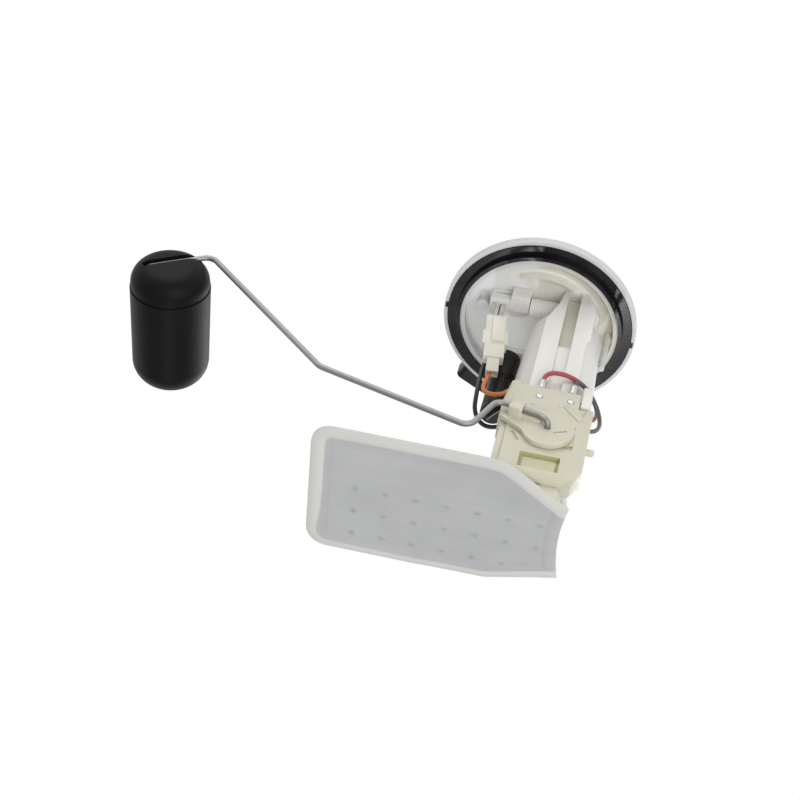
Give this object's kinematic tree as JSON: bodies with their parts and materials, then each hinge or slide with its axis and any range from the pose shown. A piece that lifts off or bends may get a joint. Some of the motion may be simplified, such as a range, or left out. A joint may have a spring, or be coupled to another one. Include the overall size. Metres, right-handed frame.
{
  "type": "fuel pump",
  "caption": "In-tank fuel pump module: round sealed flange, clear-white pump holder, strainer bag, pressure regulator and level sender with a float on a bent wire arm.",
  "frame": {"origin": "centre of the seal's flat lower face, where the tank's opening carries the flange, on the seal's axis", "axes": "+Z out of the tank along the flange's axis; -Y is the side of the level sender; the float arm reaches towards -X"},
  "size_m": [0.2243, 0.0981, 0.1593],
  "materials": {
    "natural_flange": "satin",
    "black_seal": "gloss",
    "black_rubber": "matte",
    "black_plastic": "satin",
    "natural_plastic": "satin",
    "white_plastic": "satin",
    "cream_plastic": "satin",
    "float_plastic": "satin",
    "amber_resin": "satin",
    "grey_mesh": "matte",
    "ceramic_card": "satin",
    "plated_steel": "satin",
    "spring_steel": "polished",
    "tinned_metal": "satin",
    "bronze": "satin",
    "copper_wire": "satin",
    "carbon": "matte",
    "ferrite": "matte",
    "orange_cover": "satin",
    "black_cover": "satin",
    "amber_cover": "satin",
    "red_cover": "satin",
    "grey_cover": "satin"
  },
  "bodies": {
    "module": {"flange": "natural_flange", "tank_seal": "black_seal", "stem_o_ring": "black_rubber", "connector_shroud": "black_plastic", "shroud_pins": "tinned_metal", "terminal_block": "natural_plastic", "terminal_blades": "tinned_metal", "harness_plug": "natural_plastic", "pump_holder": "white_plastic", "lower_cup": "white_plastic", "upper_isolator": "black_rubber", "lower_isolator": "black_rubber", "pump_case": "plated_steel", "outlet_cover": "black_plastic", "pump_terminals": "tinned_metal", "carbon_brushes": "carbon", "brush_springs": "spring_steel", "upper_bushing": "bronze", "lower_bushing": "bronze", "inlet_cover": "black_plastic", "chamber_plate": "black_plastic", "field_magnets": "ferrite", "check_spring": "spring_steel", "regulator_body": "black_plastic", "regulator_cover": "black_plastic", "regulator_diaphragm": "black_rubber", "regulator_spring": "spring_steel", "strainer_bag": "grey_mesh", "strainer_neck": "natural_plastic", "strainer_clip": "spring_steel", "strainer_spacer": "natural_plastic", "sender_base": "cream_plastic", "sender_rivets": "tinned_metal", "crimp_terminals": "tinned_metal", "resistor_card": "ceramic_card", "lead_orange": "orange_cover", "lead_black": "black_cover", "lead_amber": "amber_cover", "lead_red": "red_cover", "lead_grey": "grey_cover", "splice_cap": "black_plastic"},
    "float_arm": {"float_lever": "natural_plastic", "wiper_contact": "copper_wire", "float_wire": "spring_steel", "float_body": "float_plastic", "float_cap": "float_plastic"},
    "rotor": {"rotor_shaft": "spring_steel", "impeller": "amber_resin", "armature_core": "plated_steel", "armature_winding": "copper_wire", "commutator": "copper_wire"},
    "check_valve": {"check_poppet": "amber_resin"},
    "regulator_valve": {"regulator_poppet": "spring_steel"}
  },
  "joints": [
    {"name": "float_arm_pivot", "type": "hinge", "parent": "module", "child": "float_arm", "pos_m": [0.0157, -0.025, -0.1061], "axis": [0, 1, 0], "range_deg": [-18, 9.5]},
    {"name": "rotor_spin", "type": "hinge", "parent": "module", "child": "rotor", "pos_m": [0.0137, -0.0031, -0.09], "axis": [0, 0, 1], "continuous": true},
    {"name": "check_valve_slide", "type": "slide", "parent": "module", "child": "check_valve", "axis": [0, 0, 1], "range_m": [0, 0.0015], "stiffness_N_per_m": 20, "springref_m": -0.002, "deforming": ["check_spring"]},
    {"name": "regulator_slide", "type": "slide", "parent": "module", "child": "regulator_valve", "axis": [0, 0, 1], "range_m": [0, 0.001], "stiffness_N_per_m": 40, "springref_m": -0.002, "deforming": ["regulator_spring", "regulator_diaphragm"]}
  ]
}
